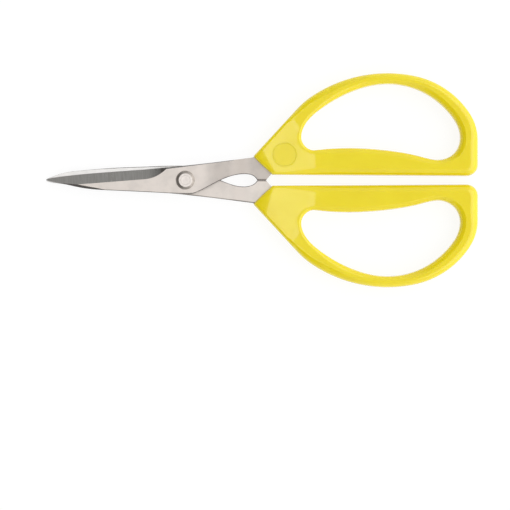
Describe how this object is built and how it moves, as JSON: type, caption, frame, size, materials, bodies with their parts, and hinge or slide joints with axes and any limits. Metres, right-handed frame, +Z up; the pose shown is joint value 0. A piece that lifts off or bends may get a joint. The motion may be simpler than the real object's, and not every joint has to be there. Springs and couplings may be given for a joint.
{
  "type": "office scissors",
  "caption": "Small right-handed riveted scissors: slim pointed steel blades with ground bevels and wide moulded finger loops, shown closed.",
  "frame": {"origin": "middle of the closed scissors' box, on the surface that the handles lie on", "axes": "+X towards the blade tips, +Z up out of the face with the rivet head, +Y towards the rear handle"},
  "size_m": [0.1588, 0.0788, 0.0076],
  "materials": {
    "blade_steel": "satin ground stainless steel",
    "rivet_steel": "turned and spun stainless steel",
    "handle_nylon": "glossy moulded yellow nylon"
  },
  "bodies": {
    "rear_half": {"rear_blade": "blade_steel", "rear_handle": "handle_nylon", "pivot_rivet": "rivet_steel", "rivet_washer": "rivet_steel"},
    "front_half": {"front_blade": "blade_steel", "front_handle": "handle_nylon"}
  },
  "joints": [
    {"name": "pivot", "type": "hinge", "parent": "rear_half", "child": "front_half", "pos_m": [0.02815, 0, 0.0038], "axis": [0, 0, 1], "range_deg": [0, 142]}
  ]
}
